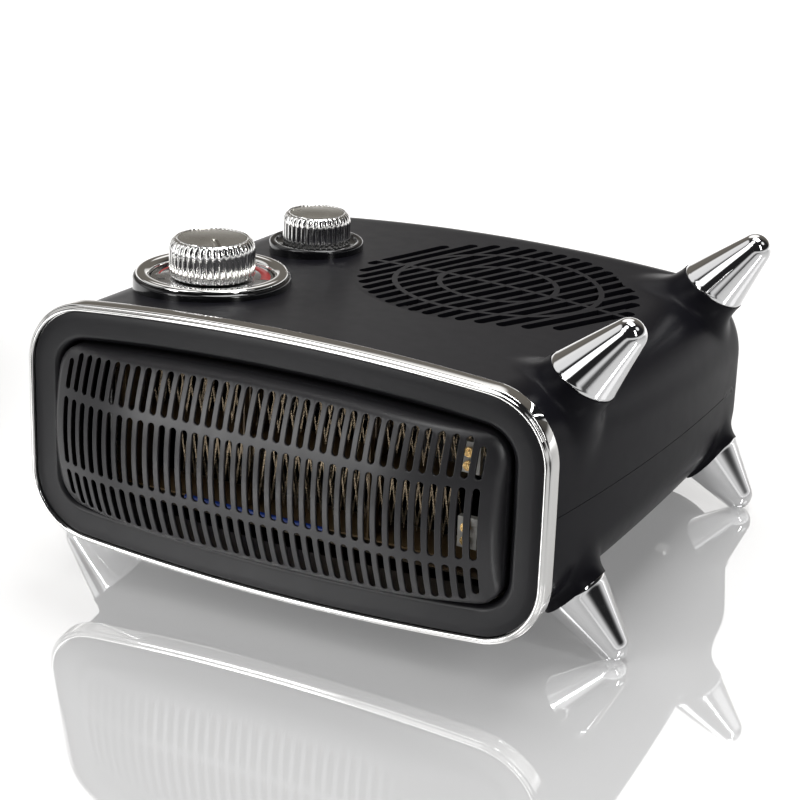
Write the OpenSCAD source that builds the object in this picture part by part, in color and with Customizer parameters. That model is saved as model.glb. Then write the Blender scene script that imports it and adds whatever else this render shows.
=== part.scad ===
// Retro electric fan heater: low wide case on chrome cone legs, open-wire element,
// top air intake, domed front grille and two fluted control knobs. Units are millimetres.

/* [Front frame] */
// Half of the width inside the chrome ring
bezel_half_width = 125; // [100:1:160]
// Half of the height inside the chrome ring
bezel_half_height = 57.4; // [45:0.1:80]
// Radius of the ring's long bowed edges
long_edge_radius = 1150; // [600:10:3000]
// Radius of the ring's short bowed edges
short_edge_radius = 5500; // [600:10:9000]
// Corner radius of the opening in the ring
bezel_corner_radius = 28; // [15:0.5:45]
// Width of the chrome ring seen from the front
ring_width = 3.7; // [2:0.1:8]
// Depth of the chrome ring, front to back
ring_depth = 8; // [5:0.5:14]
// Width of the flat black band inside the ring
band_width = 14; // [8:0.5:20]

/* [Front grille] */
// Number of slot columns
slot_columns = 37; // [21:2:45]
// Distance between slot columns
slot_pitch = 5.57; // [4:0.05:9]
// Width of one slot
slot_width = 3.2; // [2:0.1:5]
// Thickness of the grille panel
grille_thickness = 1.8; // [1.2:0.1:4]
// Distance the middle of the domed panel stands in front of the ring
grille_depth = 20; // [4:0.5:30]
// Radius of the dome from top to bottom
dome_radius = 85; // [60:5:400]
// Distance from the middle where the ends of the panel start to roll back
roll_start = 88; // [60:1:100]
// Radius of the rolled ends
roll_radius = 18.7; // [8:0.1:30]
// Gap between the panel and the black band
grille_gap = 1.2; // [0.4:0.1:3]
// Height of the slot pattern's middle above the ring centre
grille_lift = 0.8; // [-3:0.1:3]

/* [Case] */
// Distance from the front of the ring to the back of the case
case_depth = 238; // [180:1:280]
// Wall thickness of the case
wall = 2.4; // [1.6:0.1:4]
// Angle the case leans back on its legs
body_tilt = 5.84; // [0:0.01:10]
// Height of the ring centre above the floor
centre_height = 79.7; // [60:0.1:110]
// Height of the line where the two case halves meet, from the ring centre
parting_height = -2; // [-10:0.5:10]

/* [Legs] */
// Sideways position of every leg tip centre
leg_tip_side = 139.4; // [120:0.1:170]
// Radius of the round leg tip
leg_tip_radius = 7.4; // [5:0.1:10]
// Radius of a leg where it meets the case
leg_base_radius = 15.2; // [10:0.1:20]
// Angle of the legs above or below level
leg_angle = 48; // [30:1:60]

/* [Controls] */
// Sideways and front-to-back position of the thermostat knob
thermostat_place = [-74.3, 66.7]; // [-110:0.5:110]
// Sideways and front-to-back position of the function knob
selector_place = [-69.3, 153.5]; // [-110:0.5:200]
// Height of the plane that carries the dials
dial_height = 54; // [48:0.5:70]
// Number of flutes on the thermostat knob
thermostat_flutes = 40; // [24:1:60]
// Number of flutes on the function knob
selector_flutes = 34; // [20:1:60]

/* [Air intake and fan] */
// Sideways and front-to-back position of the fan shaft
fan_place = [34.5, 144]; // [-60:0.5:160]
// Radius of the slotted intake
intake_radius = 66; // [50:0.5:80]
// Distance between intake slots
intake_pitch = 7.6; // [5:0.1:12]
// Turn of the intake slots from front-to-back
intake_turn = -19; // [-45:1:45]
// Outer radius of the fan wheel
wheel_radius = 52; // [40:0.5:62]
// Height of the fan wheel
wheel_height = 30; // [20:1:40]
// Number of fan wheel blades
wheel_blades = 32; // [20:1:48]

/* [Heating element] */
// Half of the width of the element frame
element_half_width = 96; // [70:1:105]
// Bends in one run of resistance wire
wire_bends = 44; // [20:2:60]

/* [Hidden] */
$fn = 96;
centre_shift = -108;
ring_out = ring_width;
case_front = 6.6;
case_round = 21;
fan_x = fan_place[0];
fan_y = fan_place[1];
wheel_low = 10;
upper_tips = [[1, 44, 72.9, 28], [1, 200, 72.9, 28]];
case_screw_places = [[-108, 34], [108, 34], [-104, 185], [112, 178]];
lower_tips = [[1, 50.3, -67.75, 28], [1, 205.9, -51.8, 24], [-1, 50.3, -67.75, 28], [-1, 205.9, -51.8, 24]];

// Places its children in the leaning frame of the case
module lean() {
  translate([0, centre_shift, centre_height])
    rotate([-body_tilt, 0, 0])
      children();
}

// Turns a flat outline in width and height so that it runs from y1 back to y2
module slab(y1, y2) {
  translate([0, y2, 0])
    rotate([90, 0, 0])
      linear_extrude(height = y2 - y1)
        children();
}

// Corner circle centre of a rounded rectangle whose sides are shallow arcs
function corner_centre(a, b, rt, rs, rc) =
  let (p = [0, b - rt], q = [a - rs, 0], d = q - p, l = norm(d), r1 = rt - rc, r2 = rs - rc,
       x = (l * l + r1 * r1 - r2 * r2) / (2 * l), h = sqrt(r1 * r1 - x * x), e = d / l)
  p + e * x + [-e[1], e[0]] * h * (e[0] - e[1] > 0 ? 1 : -1);

// Points along an arc about c, from angle t1 to angle t2
function arc_points(c, r, t1, t2, n) =
  [for (i = [0 : n]) c + r * [cos(t1 + (t2 - t1) * i / n), sin(t1 + (t2 - t1) * i / n)]];

// A quarter of the bowed outline, from its top middle to its right middle
function quarter(a, b, rc, rt, rs) =
  let (c = corner_centre(a, b, rt, rs, rc), p = [0, b - rt], q = [a - rs, 0],
       t = atan2(c[1] - p[1], c[0] - p[0]), u = atan2(c[1] - q[1], c[0] - q[0]))
  concat(arc_points(p, rt, 90, t, 10), arc_points(c, rc, t - (t - u) / 10, u + (t - u) / 10, 8),
    arc_points(q, rs, u, 0, 3));

// Rounded rectangle with bowed sides, half sizes a and b
module bowed(a, b, rc, rt = long_edge_radius, rs = short_edge_radius) {
  q = quarter(a, b, rc, rt, rs);
  n = len(q) - 1;
  polygon(concat(
    [for (i = [0 : n]) q[i]],
    [for (i = [n - 1 : -1 : 0]) [q[i][0], -q[i][1]]],
    [for (i = [1 : n]) [-q[i][0], -q[i][1]]],
    [for (i = [n - 1 : -1 : 1]) [-q[i][0], q[i][1]]]));
}

// Opening outline of the chrome ring, made smaller by the given inset
module frame_outline(inset) {
  bowed(bezel_half_width - inset, bezel_half_height - inset, bezel_corner_radius - inset,
    long_edge_radius - inset, short_edge_radius - inset);
}

// Half width, half height and corner radius of the case at a distance behind the ring
function share(y) = (y - 6) / 200;
function case_half_width(y) = 121.5 + 28 * share(y) - 19 * share(y) * share(y);
function case_half_height(y) = 58.6 - 13.6 * share(y) + 8 * share(y) * share(y);
function case_corner(y) = 27 + 8 * share(y);
function end_drop(k) = case_round * (1 - sqrt(1 - k * k));

// One thin slice of the case outline, used by the skin hulls
module case_slice(y, inset, drop) {
  slab(y, y + 0.2)
    bowed(case_half_width(y) - inset - drop, case_half_height(y) - inset - drop,
      max(6, case_corner(y) - inset - drop * 0.6), 1100, 5500);
}

// Smooth closed body of the case, made smaller by the given inset
module case_body(inset) {
  back = case_depth - inset;
  hull() {
    for (y = [case_front, 40, 80, 120, 165, back - case_round])
      case_slice(y, inset, 0);
    for (k = [0.35, 0.62, 0.82, 0.94, 0.985])
      case_slice(back - case_round + case_round * k, inset, end_drop(k));
  }
}

function leg_dir(side, z) = [side * cos(leg_angle), 0, sign(z) * sin(leg_angle)];
function leg_base(l) =
  [l[0] * leg_tip_side, l[1], l[2]] - l[3] * leg_dir(l[0], l[2]);

// Turns +Z onto the direction of a leg and moves to its base
module at_leg(l) {
  translate(leg_base(l))
    rotate([0, l[0] * (l[2] > 0 ? 90 - leg_angle : 90 + leg_angle), 0])
      children();
}

// Raised boss between the case corner and a leg
module leg_boss(l) {
  hull() {
    at_leg(l)
      translate([0, 0, -1.2])
        cylinder(r = leg_base_radius + 0.3, h = 1.2, $fn = 48);
    at_leg(l)
      translate([-2, 0, -22])
        cylinder(r = leg_base_radius + 7, h = 2, $fn = 48);
  }
}

// Screw clearance hole and head pocket through a boss, open to the inside of the case
module leg_hole(l) {
  at_leg(l) {
    translate([0, 0, -60])
      cylinder(r = 2.25, h = 70, $fn = 32);
    translate([0, 0, -60])
      cylinder(r = 4.6, h = 52, $fn = 32);
  }
}

// Room inside the case
module case_room() {
  case_body(wall);
  slab(case_front - 2, case_front + 0.1)
    bowed(case_half_width(case_front) - wall, case_half_height(case_front) - wall,
      case_corner(case_front) - wall, 1100, 5500);
}

// Everything above or below the parting line
module above() { translate([-200, -20, parting_height + 0.12]) cube([400, 300, 120]); }
module below() { translate([-200, -20, parting_height - 120.12]) cube([400, 300, 120]); }

// Flat pattern of the intake slots between its ribs
module intake_pattern() {
  difference() {
    rotate(intake_turn)
      for (i = [-8 : 8]) {
        half = sqrt(intake_radius * intake_radius - i * i * intake_pitch * intake_pitch);
        wide = intake_pitch * 0.62;
        if (half > 12) {
          translate([i * intake_pitch, 0])
            square([wide, 2 * half - 2 * wide], center = true);
          for (j = [-1, 1])
            translate([i * intake_pitch, j * (half - wide)])
              circle(d = wide, $fn = 24);
        }
      }
    for (r = [0.72, 0.41])
      difference() {
        circle(r = r * intake_radius + 1.8);
        circle(r = r * intake_radius - 1.8);
      }
    rotate(-3)
      square([3 * intake_radius, 2.6], center = true);
  }
}

// Upper half of the case with intake slots, dial holes and two leg bosses
module upper_case() {
  color([0.06, 0.06, 0.065])
    difference() {
      union() {
        intersection() {
          case_body(0);
          above();
        }
        intersection() {
          union() {
            leg_boss(upper_tips[0]);
            leg_boss(upper_tips[1]);
          }
          above();
        }
      }
      difference() {
        case_room();
        leg_cores(upper_tips);
        for (p = case_screw_places)
          translate([p[0], p[1], -20]) cylinder(r = 4.6, h = 90, $fn = 32);
      }
      for (p = case_screw_places)
        translate([p[0], p[1], -20]) cylinder(r = 1.76, h = 36, $fn = 24);
      dial_recess();
      for (l = upper_tips)
        leg_hole(l);
      translate([fan_x, fan_y, 30])
        linear_extrude(height = 40)
          intake_pattern();
      translate([fan_x, fan_y, 53.5])
        cylinder(r = intake_radius + 1.5, h = 20);
      translate([thermostat_place[0], thermostat_place[1], 20])
        cylinder(r = 8, h = 60);
      translate([selector_place[0], selector_place[1], 20])
        cylinder(r = 8, h = 60);
    }
}

// Round seat for the thermostat dial in the top of the case
module dial_recess() {
  translate([thermostat_place[0], thermostat_place[1], dial_height + 1.2])
    cylinder(r = 36.7, h = 30);
}

// Solid core under each boss that carries the leg screw
module leg_cores(tips) {
  for (l = tips)
    at_leg(l)
      translate([0, 0, -24])
        cylinder(r = 10, h = 24);
}

// Lower half of the case with four leg bosses, cord outlet and screw holes
module lower_case() {
  color([0.06, 0.06, 0.065])
    difference() {
      union() {
        intersection() {
          case_body(0);
          below();
        }
        intersection() {
          union() {
            leg_boss(lower_tips[0]);
            leg_boss(lower_tips[1]);
            leg_boss(lower_tips[2]);
            leg_boss(lower_tips[3]);
          }
          below();
        }
      }
      difference() {
        case_room();
        leg_cores(lower_tips);
        for (p = case_screw_places)
          translate([p[0], p[1], -80]) cylinder(r = 6.6, h = 100, $fn = 32);
      }
      for (l = lower_tips) {
        leg_hole(l);
        at_leg(l)
          cylinder(r1 = leg_base_radius + 0.3, r2 = leg_base_radius - 2.6, h = 12);
      }
      for (p = case_screw_places)
        translate([p[0], p[1], -80]) {
          cylinder(r = 2.2, h = 100, $fn = 24);
          cylinder(r = 4.3, h = 36, $fn = 32);
        }
      translate([-86, 200, -24])
        rotate([-90, 0, 0])
          cylinder(r = 6.2, h = 60);
    }
}

// Screws that hold the two case halves together
module case_screws() {
  color([0.5, 0.5, 0.52])
    for (p = case_screw_places)
      translate([p[0], p[1], -46.3]) {
        cylinder(r = 3.8, h = 2.3, $fn = 32);
        cylinder(r = 1.7, h = 56, $fn = 24);
      }
}

// Chrome ring around the front frame
module chrome_ring() {
  color([0.85, 0.85, 0.86])
    difference() {
      union() {
        slab(-1.6, ring_depth - 1.6) frame_outline(-ring_out);
        slab(-2.4, -1.5) frame_outline(-ring_out + 1);
      }
      slab(-3, ring_depth) frame_outline(0);
    }
}

// Flat band inside the chrome ring with a wall running back to the grille
module front_bezel() {
  color([0.10, 0.10, 0.105])
    difference() {
      union() {
        slab(-0.8, 2.2) frame_outline(0.3);
        slab(2.2, 4.6) frame_outline(3.5);
        slab(2.2, 16) frame_outline(band_width - 2.2);
      }
      slab(-2, 20) frame_outline(band_width);
      slab(-2, 0.2) frame_outline(band_width - 1.2);
    }
}

// One upright slot with round ends, as a flat shape
module slot(x, low, high) {
  w = slot_width;
  translate([x - w / 2, low + w / 2]) square([w, high - low - w]);
  translate([x, low + w / 2]) circle(d = w, $fn = 16);
  translate([x, high - w / 2]) circle(d = w, $fn = 16);
}

// Three rows of slots, shorter towards the rounded ends of the panel
module slot_pattern() {
  half = (slot_columns - 1) / 2;
  for (i = [-half : half]) {
    x = i * slot_pitch;
    cut = abs(i) == half ? 6.4 : x * x / 2900;
    translate([0, grille_lift]) {
      slot(x, 18.9, 38.4 - cut);
      slot(x, -15.6, 15.6);
      slot(x, -38.4 + cut, -18.9);
    }
  }
}

// Sideways reach of the panel where its rolled end has fallen back by e
function roll_reach(e) = roll_start + sqrt(max(0, 2 * roll_radius * e - e * e));

// A quarter of the panel's section at depth d behind its foremost line, made smaller by t
function face_quarter(d, t) =
  let (h = sqrt(2 * dome_radius * d) - t / 2, edge = bezel_half_height - band_width - 2.6 - t)
  concat(
    [for (x = [0, 44]) [x, min(h, edge - x * x / 2300)]],
    [for (a = [0 : 15 : 90])
      let (x = roll_reach(d * sin(a) * sin(a)) - t)
      [x, max(0, min(h * cos(a), edge - x * x / 2300))]]);

module face_slice(d, t) {
  q = face_quarter(d, t);
  n = len(q) - 1;
  slab(t - grille_depth + d, t - grille_depth + d + 0.2)
    polygon(concat(
      [for (i = [0 : n]) q[i]],
      [for (i = [n - 1 : -1 : 0]) [q[i][0], -q[i][1]]],
      [for (i = [1 : n]) [-q[i][0], -q[i][1]]],
      [for (i = [n - 1 : -1 : 1]) [-q[i][0], q[i][1]]]));
}

// Solid pillow whose front is the face of the grille, moved back and made smaller by t
module pillow(t) {
  hull() {
    slab(-1 + t, 1) frame_outline(band_width + grille_gap + t);
    slab(-4.5 + t, 0) frame_outline(band_width + grille_gap + 0.9 + t);
    for (d = [0.25, 0.9, 2, 3.6, 5.6, 7.8, 9.9, 12.5, 15.5])
      face_slice(d, t);
  }
}

// Domed front grille with three rows of slots
module front_grille() {
  color([0.2, 0.2, 0.21])
    difference() {
      union() {
        pillow(0);
        slab(0.9, 12) frame_outline(band_width + grille_gap);
      }
      pillow(grille_thickness);
      slab(0.8, 13) frame_outline(band_width + grille_gap + grille_thickness);
      slab(-30, 30) slot_pattern();
    }
}

// One chrome leg: a cone with a round tip, drilled for its screw
module leg(l) {
  color([0.86, 0.86, 0.87])
    difference() {
      at_leg(l)
        difference() {
          union() {
            slope = asin((leg_base_radius - leg_tip_radius) / l[3]);
            cylinder(r1 = leg_base_radius, r2 = leg_tip_radius * cos(slope),
              h = l[3] + leg_tip_radius * sin(slope));
            translate([0, 0, l[3]])
              sphere(r = leg_tip_radius);
          }
          translate([0, 0, -1])
            cylinder(r = 2.05, h = 15, $fn = 32);
        }
      rotate([body_tilt, 0, 0])
        translate([-200, -100, -centre_height - 20])
          cube([400, 500, 20]);
    }
}

module leg_upper_front() { leg(upper_tips[0]); }
module leg_upper_rear() { leg(upper_tips[1]); }
module leg_lower_front_right() { leg(lower_tips[0]); }
module leg_lower_rear_right() { leg(lower_tips[1]); }
module leg_lower_front_left() { leg(lower_tips[2]); }
module leg_lower_rear_left() { leg(lower_tips[3]); }

// Screws that hold the legs from inside the case
module leg_screws() {
  color([0.5, 0.5, 0.52])
    for (l = concat(upper_tips, lower_tips))
      at_leg(l) {
        translate([0, 0, -8])
          cylinder(r = 2, h = 20, $fn = 32);
        translate([0, 0, -11])
          cylinder(r = 3.8, h = 3, $fn = 32);
      }
}

// Moves to the thermostat or the selector axis at dial height
module at_thermostat() { translate([thermostat_place[0], thermostat_place[1], dial_height]) children(); }
module at_selector() { translate([selector_place[0], selector_place[1], dial_height]) children(); }

// Black collar that raises the thermostat dial above the case
module dial_collar() {
  color([0.03, 0.03, 0.03])
    difference() {
      at_thermostat()
        difference() {
          union() {
            translate([0, 0, -9]) cylinder(r = 36.4, h = 12.4);
            translate([0, 0, 3.4]) cylinder(r = 35.8, h = 0.9);
          }
          translate([0, 0, 1.4]) cylinder(r = 34, h = 5);
          translate([0, 0, -20]) cylinder(r = 8, h = 30);
        }
      difference() {
        case_body(-0.15);
        translate([0, 0, 0.15]) dial_recess();
      }
    }
}

// Chrome ring of the thermostat dial
module dial_ring() {
  color([0.85, 0.85, 0.86])
    at_thermostat()
      difference() {
        union() {
          translate([0, 0, 1.6]) cylinder(r = 33.8, h = 2.8);
          translate([0, 0, 4.4]) cylinder(r = 35, h = 0.9);
          translate([0, 0, 5.3]) cylinder(r1 = 35, r2 = 33.4, h = 0.9);
        }
        translate([0, 0, 1]) cylinder(r = 28.4, h = 3.5);
        translate([0, 0, 4.4]) cylinder(r1 = 28.4, r2 = 30.6, h = 2.2);
      }
}

// Recessed silver plate with its scale, under the thermostat knob
module dial_plate() {
  color([0.75, 0.75, 0.76])
    at_thermostat()
      difference() {
        translate([0, 0, 1.6]) cylinder(r = 28.1, h = 1.4);
        translate([0, 0, 0]) cylinder(r = 3.6, h = 6);
      }
}

// Fluted knob wall, turned around its own axis
module fluted(radius, high, flutes) {
  difference() {
    union() {
      cylinder(r = radius, h = high * 0.72);
      translate([0, 0, high * 0.72]) cylinder(r1 = radius, r2 = radius * 0.93, h = high * 0.16);
      translate([0, 0, high * 0.88]) cylinder(r1 = radius * 0.93, r2 = radius * 0.83, h = high * 0.12);
    }
    for (i = [0 : flutes - 1])
      rotate(i * 360 / flutes)
        translate([radius + 0.55, 0, -1])
          cylinder(r = radius * PI / flutes * 0.8, h = high + 2, $fn = 20);
    translate([0, 0, high - 0.8]) cylinder(r = radius * 0.80, h = 2);
    translate([0, 0, -1]) cylinder(r = radius - 4.5, h = high - 3.5);
    translate([0, 0, high - 5]) cylinder(r = 2.6, h = 10, $fn = 32);
  }
}

// Thermostat knob with a hub that grips the spindle
module thermostat_knob() {
  color([0.85, 0.85, 0.86])
    at_thermostat()
      translate([0, 0, 4]) {
        fluted(19.8, 17.5, thermostat_flutes);
        difference() {
          cylinder(r = 5.4, h = 13.5);
          translate([0, 0, -1]) cylinder(r = 3, h = 20, $fn = 48);
        }
      }
}

// Satin disc set in the top of the thermostat knob, with a pointer notch
module thermostat_knob_cap() {
  color([0.72, 0.70, 0.66])
    at_thermostat()
      difference() {
        translate([0, 0, 20.7]) cylinder(r = 15.5, h = 0.9);
        rotate(-48)
          translate([14.6, 0, 21.1]) cylinder(r = 1.6, h = 2, $fn = 32);
      }
}

// Turned shaft of the thermostat
module thermostat_spindle() {
  color([0.6, 0.6, 0.6])
    at_thermostat()
      translate([0, 0, -14]) cylinder(r = 2.95, h = 28);
}

// Bimetal thermostat under the dial
module thermostat_body() {
  color([0.75, 0.68, 0.5])
    at_thermostat()
      difference() {
        union() {
          translate([-14, -10.4, -22]) cube([28, 21.4, 15.8]);
          translate([0, 0, -6.4]) cylinder(r = 5.4, h = 5.4);
          translate([-17.5, -6, -7.4]) cube([35, 12, 1.2]);
          for (i = [-1, 1])
            translate([i * 16 - 3, -2, -19]) cube([6, 0.8, 11.8]);
        }
        translate([0, 0, -14.2]) cylinder(r = 3.02, h = 30);
      }
}

// Low black collar around the function knob
module selector_collar() {
  color([0.03, 0.03, 0.03])
    difference() {
      at_selector()
        difference() {
          union() {
            translate([0, 0, -9]) cylinder(r = 23.2, h = 9.8);
            translate([0, 0, 0.8]) cylinder(r1 = 23.2, r2 = 22, h = 1);
          }
          translate([0, 0, -0.2]) cylinder(r = 19.8, h = 5);
          translate([0, 0, -20]) cylinder(r = 8, h = 30);
        }
      case_body(-0.15);
    }
}

// Function knob
module selector_knob() {
  color([0.85, 0.85, 0.86])
    at_selector()
      translate([0, 0, 0.4]) {
        fluted(16.6, 15.3, selector_flutes);
        difference() {
          cylinder(r = 5.2, h = 11.5);
          translate([0, 0, -1]) cylinder(r = 3, h = 20, $fn = 48);
        }
      }
}

// Satin disc in the top of the function knob
module selector_knob_cap() {
  color([0.72, 0.70, 0.66])
    at_selector()
      difference() {
        translate([0, 0, 14.95]) cylinder(r = 13, h = 0.9);
        translate([-12.6, 0, 15.3]) cylinder(r = 1.3, h = 2, $fn = 32);
      }
}

// Turned shaft of the function switch
module selector_spindle() {
  color([0.85, 0.83, 0.78])
    at_selector()
      translate([0, 0, -14]) cylinder(r = 2.95, h = 24);
}

// Rotary switch for off, fan, low heat and high heat
module selector_switch() {
  color([0.12, 0.12, 0.12])
    at_selector()
      difference() {
        union() {
          translate([-13, -13, -29]) cube([26, 26, 22]);
          translate([0, 0, -7.2]) cylinder(r = 5.4, h = 6);
          for (i = [-9, -3, 3, 9])
            translate([i - 1.5, -16, -27]) cube([3, 3.2, 0.8]);
        }
        translate([0, 0, -14.2]) cylinder(r = 3.02, h = 30);
      }
}

// Moves to the fan shaft
module at_fan() { translate([fan_x, fan_y, 0]) children(); }

// Fan wheel with forward-curved blades, drawing air in from the top
module fan_wheel() {
  color([0.15, 0.15, 0.16])
    at_fan() {
      difference() {
        union() {
          translate([0, 0, wheel_low]) cylinder(r = wheel_radius, h = 1.6);
          translate([0, 0, wheel_low]) cylinder(r = 7, h = 16);
        }
        translate([0, 0, wheel_low - 1]) cylinder(r = 2.5, h = 30, $fn = 48);
      }
      translate([0, 0, wheel_low + wheel_height - 1.8])
        difference() {
          cylinder(r = wheel_radius, h = 1.8);
          translate([0, 0, -1]) cylinder(r = wheel_radius - 9, h = 5);
        }
      for (i = [0 : wheel_blades - 1])
        rotate(i * 360 / wheel_blades)
          translate([wheel_radius - 5, 0, wheel_low + 1])
            linear_extrude(height = wheel_height - 2)
              intersection() {
                difference() {
                  translate([0, 5]) circle(r = 6, $fn = 32);
                  translate([0, 5]) circle(r = 5, $fn = 32);
                }
                translate([-4.6, -1.2]) square([9.2, 5.2]);
              }
    }
}

// Motor shaft, pressed in the rotor and the fan wheel
module motor_shaft() {
  color([0.7, 0.7, 0.72])
    at_fan()
      translate([0, 0, -46]) cylinder(r = 2.5, h = 68, $fn = 48);
}

// Motor rotor with its short-circuit rings
module motor_rotor() {
  color([0.45, 0.45, 0.48])
    at_fan()
      difference() {
        union() {
          translate([0, 0, -34]) cylinder(r = 11.5, h = 18);
          translate([0, 0, -36.2]) cylinder(r = 9.5, h = 21.2);
        }
        translate([0, 0, -50]) cylinder(r = 2.5, h = 50, $fn = 48);
      }
}

// Laminated stator of the shaded-pole motor
module motor_stator() {
  color([0.5, 0.5, 0.52])
    at_fan()
      difference() {
        translate([-26, -19, -34]) cube([60, 38, 18]);
        translate([0, 0, -40]) cylinder(r = 11.9, h = 40);
        translate([17, -11, -40]) cube([8.5, 22, 40]);
        for (i = [-1, 1])
          translate([-21, i * 14.5, -40]) cylinder(r = 2.1, h = 40, $fn = 32);
      }
}

// Copper winding on its bobbin
module motor_coil() {
  color([0.75, 0.4, 0.2])
    at_fan()
      difference() {
        translate([17.2, -10.8, -40.5]) cube([24, 21.6, 31]);
        translate([25.5, -12, -34.1]) cube([8.5, 24, 18.2]);
        translate([17, -12, -34.1]) cube([0.1, 24, 18.2]);
      }
}

// Bearing bridge above and below the motor
module motor_bridge() {
  color([0.65, 0.65, 0.67])
    at_fan()
      difference() {
        union() {
          translate([-25, -18.5, -14.5]) cube([12, 37, 2]);
          translate([-14, -7, -14.5]) cube([22, 14, 2]);
          translate([0, 0, -12.6]) cylinder(r = 6, h = 6);
          translate([-25, -18.5, -39.2]) cube([12, 37, 1.6]);
          translate([-14, -7, -39.2]) cube([22, 14, 1.6]);
          translate([0, 0, -43.5]) cylinder(r = 6, h = 4.5);
          for (i = [-1, 1])
            translate([-21, i * 14.5, -39]) cylinder(r = 2.05, h = 26, $fn = 32);
        }
        translate([0, 0, -50]) cylinder(r = 2.55, h = 60, $fn = 48);
      }
}

// Screws that hold the motor under the fan scroll
module motor_screws() {
  color([0.5, 0.5, 0.52])
    at_fan()
      for (i = [-1, 1])
        translate([-21, i * 14.5, 0]) {
          translate([0, 0, 7.2]) cylinder(r = 3.2, h = 1.8, $fn = 32);
          translate([0, 0, -12.4]) cylinder(r = 1.5, h = 20, $fn = 32);
        }
}

// Plan outline of the fan scroll, widening towards its outlet
module scroll_outline(out) {
  difference() {
    union() {
      circle(r = 60 + out);
      translate([-8, -6]) circle(r = 60 + out);
      translate([-60 - 8 - out, -80]) square([120 + 8 + 2 * out, 76]);
    }
    translate([-200, -280]) square([400, 200]);
  }
}

// Fan scroll below the wheel, open at the front towards the element
module fan_scroll() {
  color([0.06, 0.06, 0.065])
    at_fan()
      difference() {
        translate([0, 0, 4]) linear_extrude(height = 40) scroll_outline(0);
        translate([0, -2, 5.4]) linear_extrude(height = 50) scroll_outline(-1.4);
        translate([-63, -90, 5.4]) cube([118, 30, 50]);
        translate([0, 0, -1]) cylinder(r = 8.5, h = 20);
        for (i = [-1, 1])
          translate([-21, i * 14.5, 0]) cylinder(r = 1.8, h = 10, $fn = 32);
      }
}

// Cover of the fan scroll with the round inlet
module scroll_cover() {
  color([0.06, 0.06, 0.065])
    at_fan()
      difference() {
        translate([0, 0, 44.2]) linear_extrude(height = 1.2) scroll_outline(0);
        translate([0, 0, 40]) cylinder(r = 46, h = 20);
      }
}

// Steel frame around the heating element
module element_duct() {
  w = element_half_width;
  color([0.55, 0.5, 0.42])
    difference() {
      slab(20, 56) square([2 * w, 76], center = true);
      slab(18, 60) square([2 * w - 1.6, 74.4], center = true);
    }
}

// Mica boards that carry the resistance wire
module mica_boards() {
  w = element_half_width - 0.9;
  color([0.72, 0.62, 0.42])
    difference() {
      union() {
        for (z = [-35, -0.4, 34.2])
          translate([-w, 26, z]) cube([2 * w, 22, 0.8]);
        for (x = [-w, -w / 3, w / 3, w - 0.8])
          translate([x, 26, -34.9]) cube([0.8, 22, 69.8]);
      }
      translate([w - 22, 25, -20]) cube([15, 24, 30]);
      for (x = [-w / 3, w / 3], y = [30, 36, 42], z = [-32, 2])
        translate([x - 1, y - 0.4, z]) cube([3, 1.4, 30]);
    }
}

// One zig-zag run of flat resistance wire, made as a bent band of even thickness
function zigzag(low, high, half, rise) =
  [for (i = [0 : wire_bends])
    [-half + 2 * half * i / wire_bends, (i % 2 == 0 ? low : high - rise)]];
module zigzag_wire(low, high, half, y) {
  step = 2 * half / wire_bends;
  rise = 0.6 * sqrt(1 + pow((high - low) / step, 2));
  pts = zigzag(low, high, half, rise);
  slab(y, y + 0.6)
    polygon(concat(pts, [for (i = [wire_bends : -1 : 0]) pts[i] + [0, rise]]));
}

// Three rows of resistance wire in the upper tier
module heating_wire_upper() {
  color([0.7, 0.66, 0.6])
    for (y = [30, 36, 42])
      zigzag_wire(3, 31, 88, y);
}

// Three rows of resistance wire in the lower tier
module heating_wire_lower() {
  color([0.7, 0.66, 0.6])
    for (y = [30, 36, 42])
      zigzag_wire(-31, -3, 70, y);
}

// White ceramic holder at the element's end
module ceramic_holder() {
  color([0.92, 0.91, 0.88])
    difference() {
      union() {
        translate([77, 22.4, 8]) cube([9, 3, 14]);
        translate([77, 22.4, -26]) cube([9, 3, 14]);
      }
      for (z = [12, 18, -22, -16])
        translate([81.5, 20, z])
          rotate([-90, 0, 0])
            cylinder(r = 1.1, h = 8, $fn = 24);
    }
}

// Brass tabs on the ceramic holders
module terminals() {
  color([0.8, 0.6, 0.3])
    for (z = [12, 18, -22, -16])
      translate([81.5, 19.6, z])
        rotate([-90, 0, 0]) {
          cylinder(r = 1, h = 7, $fn = 24);
          translate([0, 0, 0.4]) cylinder(r = 2.2, h = 1.2, $fn = 24);
        }
}

// Disc thermostat that opens when the element overheats
module thermal_cutout() {
  color([0.2, 0.2, 0.2])
    translate([50, 33, 38.4]) {
      cylinder(r = 8, h = 6);
      translate([-12, -3, 0]) cube([24, 6, 0.8]);
      translate([-7, -0.4, 6]) cube([3, 0.8, 5]);
      translate([4, -0.4, 6]) cube([3, 0.8, 5]);
    }
}

// One-shot thermal fuse in its sleeve above the element
module thermal_fuse() {
  color([0.8, 0.8, 0.78])
    translate([-30, 36, 40.6])
      rotate([0, 90, 0]) {
        cylinder(r = 2, h = 22, $fn = 32);
        translate([0, 0, -8]) cylinder(r = 0.6, h = 38, $fn = 24);
      }
}

// Blue insulated lead that crosses in front of the element's lower edge
module motor_lead() {
  color([0.08, 0.18, 0.6])
    translate([-60, 23, -34])
      rotate([0, 90, 0])
        cylinder(r = 1.3, h = 72, $fn = 32);
}

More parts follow.
